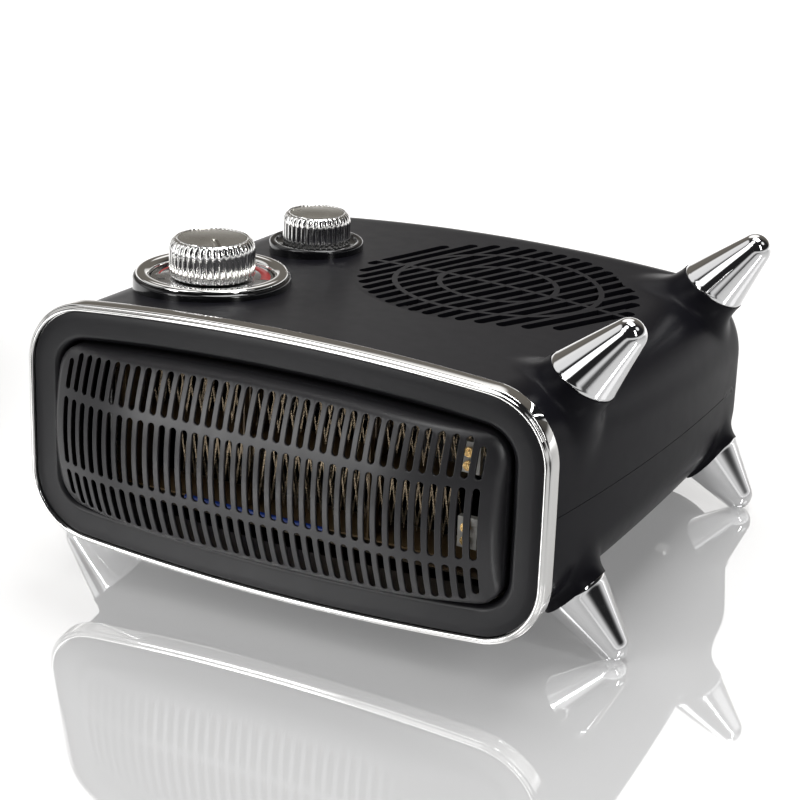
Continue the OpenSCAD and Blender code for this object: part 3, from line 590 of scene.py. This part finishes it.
def case_stations(inset):
    """Distances at which outlines are taken, closer together over the rounded end."""
    end = CASE_DEPTH - inset
    rounded = [end - CASE_ROUND + CASE_ROUND * math.sin(math.radians(a)) for a in range(6, 91, 6)]
    return list(np.linspace(6.6, end - CASE_ROUND, 56)) + rounded


def half_outline(pts, upper, cut):
    """The part of an outline above or below the parting line, from left to right."""
    q = sum(CASE_SEGMENTS)
    right = pts[:q + 1]
    if not upper:
        right = right[:-1] * [1, -1]
    a = pts[q][0]
    return np.concatenate([[[-a, cut]], right[::-1] * [-1, 1], right[1:], [[a, cut]]])


def case_half(upper):
    """Closed shell of one case half: outside, inside and the faces that join them."""
    cut = PARTING + (SEAM if upper else -SEAM)
    outer = [loop(half_outline(case_outline(y, 0), upper, cut), y) for y in case_stations(0)]
    inner = [loop(half_outline(case_outline(y, WALL), upper, cut), y) for y in case_stations(WALL)]
    rows, cols = len(outer), len(outer[0])
    verts = np.concatenate(outer + inner)
    second = rows * cols
    faces = quads(rows, cols, wrap_cols=False)
    faces += [tuple(second + i for i in f[::-1]) for f in faces]
    for i in range(rows - 1):
        for j in (0, cols - 1):
            a, b = i * cols + j, (i + 1) * cols + j
            faces.append((a, b, second + b, second + a))
    for j in range(cols - 1):
        faces.append((j, j + 1, second + j + 1, second + j))
    last = (rows - 1) * cols
    faces.append(tuple(range(last, last + cols)))
    faces.append(tuple(range(second + last, second + last + cols)))
    faces.append((last, last + cols - 1, second + last + cols - 1, second + last))
    return verts, faces


def local_mesh(name, verts, faces):
    """A mesh object in millimetres in the frame of the case, used while shapes are worked out."""
    mesh = bpy.data.meshes.new(name)
    mesh.from_pydata(np.asarray(verts).tolist(), [], [list(f) for f in faces])
    bm = bmesh.new()
    bm.from_mesh(mesh)
    bmesh.ops.remove_doubles(bm, verts=bm.verts, dist=1e-4)
    bmesh.ops.recalc_face_normals(bm, faces=bm.faces)
    bm.to_mesh(mesh)
    bm.free()
    ob = bpy.data.objects.new(name, mesh)
    bpy.context.scene.collection.objects.link(ob)
    return ob


def discard(ob):
    """Takes a scratch object out of the scene."""
    bpy.data.objects.remove(ob)


def combined(ob, cutter, operation):
    """Boolean of two scratch objects; the cutter is used up."""
    mod = ob.modifiers.new("combine", "BOOLEAN")
    mod.operation, mod.solver, mod.object = operation, "EXACT", cutter
    ob.data = bpy.data.meshes.new_from_object(ob.evaluated_get(bpy.context.evaluated_depsgraph_get()))
    ob.modifiers.clear()
    discard(cutter)
    return ob


def prism(outline, z0, z1):
    """Upright solid over an (x, y) outline."""
    n = len(outline)
    v = np.concatenate([np.column_stack([outline, np.full(n, z)]) for z in (z0, z1)])
    return v, quads(2, n) + [tuple(range(n)), tuple(range(n, 2 * n))]


def disc(r, n, centre):
    """Points of a circle."""
    a = np.linspace(0, 2 * math.pi, n, endpoint=False)
    return np.stack([centre[0] + r * np.cos(a), centre[1] + r * np.sin(a)], 1)


def tube(r0, r1, z0, z1, centre, n=128):
    """Closed ring of rectangular section."""
    rows = []
    for r, z in ((r0, z0), (r1, z0), (r1, z1), (r0, z1)):
        rows.append(np.column_stack([disc(r, n, centre), np.full(n, z)]))
    return np.concatenate(rows), quads(4, n, wrap_rows=True)


def intake_cutter():
    """The intake slots less the ribs that cross them."""
    slots, turn = [], math.radians(INTAKE_TURN)
    for i in range(-8, 9):
        half = math.sqrt(INTAKE_R ** 2 - (i * INTAKE_PITCH) ** 2)
        r = INTAKE_PITCH * INTAKE_OPEN / 2
        a = np.linspace(0, math.pi, 15)
        rounded = np.stack([r * np.cos(a), half - 2 * r + r * np.sin(a)], 1)
        outline = np.concatenate([rounded, -rounded]) + [i * INTAKE_PITCH, 0]
        slots.append(prism(spun(outline, turn) + FAN, 30, 60))
    cutter = local_mesh("slots", *joined(slots))
    for share in (0.72, 0.41):
        ring = tube(share * INTAKE_R - RIB_HALF, share * INTAKE_R + RIB_HALF, 25, 65, FAN)
        combined(cutter, local_mesh("rib", *ring), "DIFFERENCE")
    bar = np.array([(-90, -RIB_HALF), (90, -RIB_HALF), (90, RIB_HALF), (-90, RIB_HALF)])
    bar = spun(bar, math.radians(-3)) + FAN
    return combined(cutter, local_mesh("bar", *prism(bar, 25, 65)), "DIFFERENCE")


def blend_at(source, face_index, point):
    """Normal of a smooth mesh at a point of one of its faces, not brought to unit length."""
    face = source.polygons[face_index]
    weights = poly_3d_calc([source.vertices[k].co for k in face.vertices], point)
    return sum((source.vertices[k].normal * t for k, t in zip(face.vertices, weights)), Vector())


def finish_skin(ob, name, smooth, keep_angle, mat, nodes):
    """Takes a scratch object as a piece, shaded with the normals of the smooth shape it was cut from."""
    tree = BVHTree.FromObject(smooth, bpy.context.evaluated_depsgraph_get())
    mesh = ob.data
    limit = math.cos(math.radians(keep_angle))
    normals = []
    for poly in mesh.polygons:
        for v in poly.vertices:
            co = mesh.vertices[v].co
            _, _, index, dist = tree.find_nearest(co + poly.normal * 0.02)
            use = poly.normal
            if index is not None and dist < 0.5:
                normal = blend_at(smooth.data, index, co)
                if normal.length > 1e-6 and normal.normalized().dot(poly.normal) > limit:
                    use = normal.normalized()
            normals.append(use.copy())
    lean = Matrix.Rotation(-LEAN, 3, "X")
    place = Matrix.Translation((0, SHIFT / 1000, HEIGHT / 1000))
    mesh.transform(place @ lean.to_4x4() @ Matrix.Scale(0.001, 4))
    mesh.polygons.foreach_set("use_smooth", [True] * len(mesh.polygons))
    mesh.normals_split_custom_set([lean @ n for n in normals])
    mesh.materials.clear()
    mesh.materials.append(mat)
    ob.name = name
    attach(ob, "housing")
    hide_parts(*nodes)


upper_skin = local_mesh("upper_smooth", *case_half(True))
lower_skin = local_mesh("lower_smooth", *case_half(False))
both_skins = local_mesh("both", *joined([case_half(True), case_half(False)]))
skin_tree = BVHTree.FromObject(both_skins, bpy.context.evaluated_depsgraph_get())

shell = local_mesh("upper_shell", *case_half(True))
combined(shell, local_mesh("flat", *prism(disc(INTAKE_R + 0.8, 160, FAN), 53.5, 80)), "DIFFERENCE")
combined(shell, local_mesh("seat", *prism(disc(36.7, 128, THERMOSTAT), DIAL_Z + 1.2, 90)), "DIFFERENCE")
combined(shell, intake_cutter(), "DIFFERENCE")
finish_skin(shell, "upper_cover", upper_skin, 20, M["case"], ("upper_case",))
shell = local_mesh("lower_shell", *case_half(False))
finish_skin(shell, "lower_cover", lower_skin, 20, M["case"], ("lower_case",))


FAIRING_REACH, FAIRING_BLEND = 52, 15.0
FAIRING_RIM = ((-1.2, -0.02), (0.1, 0.0), (0.28, -0.08), (0.34, -0.3))  # past the leg's radius, along it


def smooth_max(a, b, k):
    """The larger of two heights, with a soft change-over k wide."""
    h = np.maximum(k - np.abs(a - b), 0) / k
    return np.maximum(a, b) + h * h * k / 4


def fairing_grid(leg):
    """Points of the horn under a leg row by row, and which of them stand above the skin."""
    base, a, b, d = leg_frame(leg)
    ang = np.linspace(0, 2 * math.pi, 128, endpoint=False)
    drops = -np.linspace(0.6, 24, 34)
    horn_r = BASE_R + 0.34 + 0.012 * drops ** 2
    far = np.linspace(horn_r[-1] + 0.5, FAIRING_REACH, 30)
    radii = np.concatenate([horn_r, far])
    heights = np.concatenate([drops, drops[-1] - (far - horn_r[-1]) * 1.8])
    k = slant(leg)
    rows = [np.array([base + (BASE_R + dr) * (math.cos(t) * a + math.sin(t) * b)
                      + (dz + k * (BASE_R + dr) * math.cos(t)) * d for t in ang]) for dr, dz in FAIRING_RIM]
    raised = [np.ones(len(ang), bool) for _ in FAIRING_RIM]
    for r, own in zip(radii, heights):
        row, up = [], []
        for t in ang:
            p = base + r * (math.cos(t) * a + math.sin(t) * b)
            hit = skin_tree.ray_cast(Vector(p + d * 40), Vector(-d))[0]
            skin = (np.array(hit) - p) @ d if hit is not None else own
            height = float(smooth_max(own + k * BASE_R * math.cos(t), np.float64(skin), FAIRING_BLEND))
            lifted = hit is not None and height > skin + 0.002
            row.append(p + (height if lifted else skin - 0.03) * d)
            up.append(lifted)
        rows.append(np.array(row))
        raised.append(np.array(up))
    return rows, raised


def blend_into_skin(ob):
    """Turns a fairing's normals into those of the case where it comes close to it."""
    normals, corner, _ = corner_data(ob.data)
    blended = {}
    for i, q in enumerate(local_points(ob.data)):
        point, _, index, dist = skin_tree.find_nearest(Vector(q))
        weight = max(0.0, 1 - dist / 0.9)
        if weight > 0:
            skin_n = blend_at(both_skins.data, index, point)
            blended[i] = (weight, to_world_dir(np.array([skin_n]))[0])
    for c, i in enumerate(corner):
        if i in blended:
            weight, skin_n = blended[i]
            mixed = normals[c] * (1 - weight) + skin_n / np.linalg.norm(skin_n) * weight
            normals[c] = mixed / np.linalg.norm(mixed)
    ob.data.normals_split_custom_set(normals.tolist())


def fairing(name, leg):
    """Horn that swells out of the skin to a round rim under a leg."""
    rows, raised = fairing_grid(leg)
    grid = quads(len(rows), len(rows[0]))
    verts, raised = np.concatenate(rows), np.concatenate(raised)
    keep = [f for f in grid if raised[list(f)].any() and verts[list(f), 1].min() > 6.7]
    used = sorted({i for f in keep for i in f})
    index = {v: k for k, v in enumerate(used)}
    faces = [tuple(index[i] for i in f) for f in keep]
    blend_into_skin(make(name, verts[used], faces, M["case"], slot="case", sharp=50))


for name, leg in LEGS.items():
    fairing("fairing_" + name[4:], leg)
for scratch in (both_skins, upper_skin, lower_skin):
    discard(scratch)


# ---------------------------------------------------------------- controls
SHOULDER_AT, SHOULDER_HIGH, SHOULDER_IN = 0.66, 0.33, 0.18  # shares of a knob's height and radius


def flute(count, radius, depth, z_from, z_to):
    """Radius function of a knob with round flutes that die out over its shoulder."""
    def fn(r, z, ang):
        k = np.sqrt(1 - np.clip((z - z_from) / (z_to - z_from), 0, 1) ** 2)
        wave = np.sqrt(np.cos(ang * count / 2) ** 2 + 0.01)
        return r - depth * k * np.clip(1 - wave, 0, 1) ** 1.3 * (r / radius)
    return fn


def knob(name, place, z0, radius, high, count, body, node, cap_r):
    """Fluted knob with a rounded shoulder and a seat for its cap."""
    depth = radius * math.pi / count * 0.6
    prof = [(radius - 3.4, 0.3), (radius - 0.8, 0.0), (radius - 0.15, 0.3), (radius, 1.0)]
    prof += [(radius, high * t) for t in (0.2, 0.35, 0.5, SHOULDER_AT)]
    prof += [(radius - SHOULDER_IN * radius * (1 - math.cos(math.radians(a))),
              high * SHOULDER_AT + high * SHOULDER_HIGH * math.sin(math.radians(a))) for a in range(6, 88, 6)]
    prof += [(cap_r + 0.75, high + 0.05), (cap_r + 0.25, high - 0.05), (cap_r + 0.02, high - 0.35),
             (cap_r, high - 1.4)]
    flutes = flute(count, radius, depth, high * SHOULDER_AT, high * (SHOULDER_AT + SHOULDER_HIGH))
    v, f = lathe(prof, count * 14, flutes)
    make(name, at(v, place, z0), f, M["knob"], body=body, slot="knob_chrome", nodes=(node,), sharp=80)


def cap(name, place, z0, radius, body, node, notch, length):
    """Dished disc with a scooped pointer that runs in from the rim."""
    n, rings, rise, scoop_depth, scoop_r, rim = 160, 36, 0.55, 0.75, 1.5, 1.2
    ang = np.linspace(0, 2 * math.pi, n, endpoint=False)
    rows = []
    for k in range(rings + 1):
        r = radius * k / rings
        x, y = r * np.cos(ang), r * np.sin(ang)
        u = x * math.cos(notch) + y * math.sin(notch)
        v = -x * math.sin(notch) + y * math.cos(notch)
        dist = np.hypot(u - np.clip(u, radius - length, radius - rim), v)
        z = np.full(n, rise * (1 - (k / rings) ** 2)) - scoop_depth * np.clip(1 - (dist / scoop_r) ** 2, 0, 1)
        rows.append(np.stack([x, y, z], 1))
    rows.append(np.stack([radius * np.cos(ang), radius * np.sin(ang), np.full(n, -0.8)], 1))
    f = quads(len(rows), n) + [tuple((len(rows) - 1) * n + k for k in range(n))]
    verts = at(np.concatenate(rows), place, z0)
    make(name, verts, f, M["cap"], body=body, slot="satin_cap", nodes=(node,), sharp=55)


knob("thermostat_dial_knob", THERMOSTAT, DIAL_Z + 4, 19.8, 17.5, 40, "thermostat_control",
     "thermostat_knob", 15.9)
cap("thermostat_disc", THERMOSTAT, DIAL_Z + 21.1, 15.85, "thermostat_control", "thermostat_knob_cap",
    math.radians(-48), 10.5)
knob("selector_dial_knob", SELECTOR, DIAL_Z + 0.4, 16.6, 15.3, 34, "selector_control",
     "selector_knob", 13.2)
cap("selector_disc", SELECTOR, DIAL_Z + 15.3, 13.15, "selector_control", "selector_knob_cap",
    math.radians(193), 3.4)


def turned(name, place, profile, mat, slot, node, segments=192):
    """Turned piece round a control's axis, its profile measured from the dial's height."""
    v, f = lathe(profile, segments)
    sides = [face for face in f if len(face) == 4]
    make(name, at(v, place, DIAL_Z), sides, mat, slot=slot, nodes=(node,), sharp=50)


SPINDLE_HOLE, COLLAR_FOOT = 8.1, -8.5
collar = [(SPINDLE_HOLE, -2.5), (SPINDLE_HOLE, 1.4), (33.9, 1.4), (34.0, 3.9), (34.25, 4.25), (35.3, 4.3)]
collar += arc_pts(35.0, 2.9, 1.4, 75, 0, 5) + [(36.4, COLLAR_FOOT), (SPINDLE_HOLE, COLLAR_FOOT)]
turned("thermostat_collar", THERMOSTAT, collar, M["gloss"], "gloss_black", "dial_collar")

rim = [(28.5, 1.65), (28.5, 4.3), (28.9, 4.9), (30.6, 6.0), (31.2, 6.2), (33.0, 6.2)]
rim += arc_pts(33.0, 4.9, 2.0, 75, 0, 5, ry=1.3) + [(34.6, 4.4), (33.8, 4.3), (33.8, 1.65), (28.5, 1.65)]
turned("thermostat_ring", THERMOSTAT, rim, M["chrome"], "chrome", "dial_ring")

plate = [(3.7, 1.7), (3.7, 2.9), (4.2, 3.0), (27.6, 3.0), (28.05, 2.8), (28.05, 1.7), (3.7, 1.7)]
turned("thermostat_scale_plate", THERMOSTAT, plate, M["plate"], "dial_silver", "dial_plate")


def arc_band(name, place, z, a0, a1, r_mid, w0, w1, mat, slot, steps=60, thick=0.06):
    """Printed band on a dial that widens from w0 to w1 between two angles in degrees."""
    t = np.linspace(0, 1, steps + 1)
    a = np.radians(a0 + (a1 - a0) * t)
    w = w0 + (w1 - w0) * t
    rows = []
    for sign, dz in ((-1, 0), (1, 0), (1, thick), (-1, thick)):
        r = r_mid + sign * w / 2
        rows.append(np.stack([r * np.cos(a), r * np.sin(a), np.full(len(a), z + dz)], 1))
    m = steps + 1
    faces = quads(4, m, wrap_rows=True, wrap_cols=False)
    faces += [tuple(k * m for k in range(4)), tuple(k * m + steps for k in range(4))]
    return make(name, at(np.concatenate(rows), place, 0), faces, mat, slot=slot)


SCALE_FROM, SCALE_TO, MARKS, SCALE_Z = 205, 20, 9, DIAL_Z + 2.98
arc_band("warm_scale", THERMOSTAT, SCALE_Z, SCALE_FROM, SCALE_TO, 24.6, 0.6, 4.6, M["red"], "dial_silver")
for k in range(MARKS):
    mid = SCALE_FROM + k * (SCALE_TO - SCALE_FROM) / (MARKS - 1)
    arc_band(f"scale_mark_{k}", THERMOSTAT, SCALE_Z, mid - 0.7, mid + 0.7, 21.4, 1.6, 1.6, M["ink"],
             "dial_silver", steps=4)
arc_band("rest_mark", THERMOSTAT, SCALE_Z, 228, 222, 23.8, 3.2, 3.2, M["ink"], "dial_silver", steps=8)

low_collar = [(SPINDLE_HOLE, -2.5), (SPINDLE_HOLE, -0.2), (19.5, -0.2), (19.8, 0.1), (19.9, 1.5), (20.2, 1.8),
              (21.6, 1.85)]
low_collar += arc_pts(21.9, 0.55, 1.3, 75, 0, 5)
low_collar += [(23.2, COLLAR_FOOT), (SPINDLE_HOLE, COLLAR_FOOT), (SPINDLE_HOLE, -2.5)]
turned("selector_rim", SELECTOR, low_collar, M["gloss"], "gloss_black", "selector_collar", segments=160)


# ---------------------------------------------------------------- camera, light and floor
def studio_camera():
    """Camera to the front right of the object, above it."""
    azimuth, elevation, roll = math.radians(28.372), math.radians(24.267), math.radians(-0.939)
    from_target = Vector((math.sin(azimuth) * math.cos(elevation), -math.cos(azimuth) * math.cos(elevation),
                          math.sin(elevation)))
    camera = bpy.data.objects.new("camera", bpy.data.cameras.new("camera"))
    bpy.context.scene.collection.objects.link(camera)
    camera.location = (0.4277, -0.6784 + SHIFT / 1000, 0.4806)
    camera.rotation_mode = "QUATERNION"
    camera.rotation_quaternion = (-from_target).to_track_quat("-Z", "Y") @ Quaternion((0, 0, 1), roll)
    camera.data.lens = 94.5
    camera.data.sensor_width = 36
    camera.data.shift_x = 0.0009
    camera.data.shift_y = -0.0241
    camera.data.clip_start = 0.01
    camera.data.clip_end = 50
    bpy.context.scene.camera = camera


studio_camera()


def area(name, loc, target, size, power):
    """Rectangular softbox that faces a target."""
    light = bpy.data.lights.new(name, "AREA")
    light.shape = "RECTANGLE"
    light.size, light.size_y = size
    light.energy = power
    ob = bpy.data.objects.new(name, light)
    bpy.context.scene.collection.objects.link(ob)
    ob.location = loc
    ob.rotation_mode = "QUATERNION"
    ob.rotation_quaternion = (Vector(target) - Vector(loc)).to_track_quat("-Z", "Y")


area("top_softbox", (0.15, 0.35, 1.5), (0, 0, 0), (0.9, 0.6), 12)
area("front_left_softbox", (-0.55, -1.05, 0.30), (0, -0.12, 0.08), (0.24, 0.42), 2.5)
area("right_softbox", (1.3, -0.5, 0.9), (0.1, 0, 0.06), (0.2, 0.8), 4)

world_shader = bpy.data.worlds.new("studio")
bpy.context.scene.world = world_shader
world_shader.use_nodes = True
sky_tree = world_shader.node_tree
wn, wl = sky_tree.nodes, sky_tree.links
sky_dir = wn.new("ShaderNodeTexCoord").outputs["Generated"]


def math_node(tree, op, a, b):
    """A math node; inputs may be sockets or numbers."""
    node = tree.nodes.new("ShaderNodeMath")
    node.operation = op
    for i, v in enumerate((a, b)):
        if isinstance(v, bpy.types.NodeSocket):
            tree.links.new(v, node.inputs[i])
        else:
            node.inputs[i].default_value = v
    return node.outputs[0]


def smooth_range(tree, value, from_min, from_max, to_min=0.0, to_max=1.0):
    """A smooth step of a socket between two values."""
    node = tree.nodes.new("ShaderNodeMapRange")
    node.interpolation_type = "SMOOTHSTEP"
    ends = {"From Min": from_min, "From Max": from_max, "To Min": to_min, "To Max": to_max}
    for socket, number in ends.items():
        node.inputs[socket].default_value = number
    tree.links.new(value, node.inputs["Value"])
    return node.outputs["Result"]


def towards(direction, full, edge):
    """1 inside the angle `full` of a direction, fading to 0 at the angle `edge`, in degrees."""
    dot = wn.new("ShaderNodeVectorMath")
    dot.operation = "DOT_PRODUCT"
    wl.new(sky_dir, dot.inputs[0])
    dot.inputs[1].default_value = Vector(direction).normalized()
    outer, inner = math.cos(math.radians(edge)), math.cos(math.radians(full))
    return smooth_range(sky_tree, dot.outputs["Value"], outer, inner)


def sky(az, el):
    """Unit vector; az is measured from straight behind the object, positive to its right."""
    a, e = math.radians(az), math.radians(el)
    return (math.sin(a) * math.cos(e), math.cos(a) * math.cos(e), math.sin(e))


# white boards round the object: direction, full and edge angle, brightness
BOARDS = ((sky(-28, 42), 18, 22, 1.25), (sky(-100, 30), 16, 24, 1.0), (sky(75, 45), 8, 12, 1.2),
          (sky(-147, 26), 8, 14, 2.6), (sky(-147, 48), 11, 16, 3.0), (sky(-147, 70), 8, 14, 2.6))
sep = wn.new("ShaderNodeSeparateXYZ")
wl.new(sky_dir, sep.inputs["Vector"])
total = math_node(sky_tree, "MULTIPLY", smooth_range(sky_tree, sep.outputs["Z"], 0.16, 0.05), 0.8)
for direction, full, edge, power in BOARDS:
    board = math_node(sky_tree, "MULTIPLY", towards(direction, full, edge), power)
    total = math_node(sky_tree, "ADD", total, board)
haze = wn.new("ShaderNodeMix")
haze.data_type = "RGBA"
haze.inputs["A"].default_value = (0.016, 0.016, 0.017, 1)
haze.inputs["B"].default_value = (0.16, 0.147, 0.130, 1)
wl.new(towards(sky(-28, 12), 25, 75), haze.inputs["Factor"])
wl.new(haze.outputs["Result"], wn["Background"].inputs["Color"])
boards = wn.new("ShaderNodeBackground")
wl.new(total, boards.inputs["Strength"])
light_sum = wn.new("ShaderNodeAddShader")
wl.new(wn["Background"].outputs[0], light_sum.inputs[0])
wl.new(boards.outputs[0], light_sum.inputs[1])
wl.new(light_sum.outputs[0], wn["World Output"].inputs["Surface"])


def glossy_floor():
    """Pale polished floor with painted light: it glows more to the rear left, and painted shade dims its
    colour and glow close to the camera.
    """
    mesh = bpy.data.meshes.new("floor")
    bm = bmesh.new()
    bmesh.ops.create_circle(bm, cap_ends=True, segments=96, radius=6)
    bm.to_mesh(mesh)
    bm.free()
    ob = bpy.data.objects.new("floor", mesh)
    bpy.context.scene.collection.objects.link(ob)
    ob.location.z = -0.0002
    mat = material("glossy_floor", (0.90, 0.90, 0.90), 0.03, metal=0.38, vary=0.004, rough_vary=0.004,
                   smudge=3)
    mesh.materials.append(mat)
    tree = mat.node_tree
    nd, ln, bsdf = nodes_of(mat)
    place = nd.new("ShaderNodeTexCoord")
    along = nd.new("ShaderNodeVectorMath")
    along.operation = "DOT_PRODUCT"
    ln.new(place.outputs["Object"], along.inputs[0])
    along.inputs[1].default_value = (-0.475, 0.88, 0)
    # Painted light: emission glow that rises towards the rear left.
    painted_glow = smooth_range(tree, along.outputs["Value"], 0.02, 0.42, 0.17, 0.75)
    front = nd.new("ShaderNodeSeparateXYZ")
    ln.new(place.outputs["Object"], front.inputs["Vector"])
    # Painted shade: the floor's colour and glow are dimmed close to the camera.
    painted_shade = smooth_range(tree, front.outputs["Y"], -0.52, -0.31, 0.15, 1.0)
    ln.new(math_node(tree, "MULTIPLY", painted_glow, painted_shade), bsdf.inputs["Emission Strength"])
    painted_shade_colour = nd.new("ShaderNodeVectorMath")
    painted_shade_colour.operation = "SCALE"
    ln.new(bsdf.inputs["Base Color"].links[0].from_socket, painted_shade_colour.inputs[0])
    ln.new(painted_shade, painted_shade_colour.inputs["Scale"])
    ln.new(painted_shade_colour.outputs["Vector"], bsdf.inputs["Base Color"])
    bsdf.inputs["Emission Color"].default_value = (1, 1, 1, 1)
    return ob


glossy_floor()

bpy.context.scene.view_settings.view_transform = "Standard"
bpy.context.scene.view_settings.look = "None"
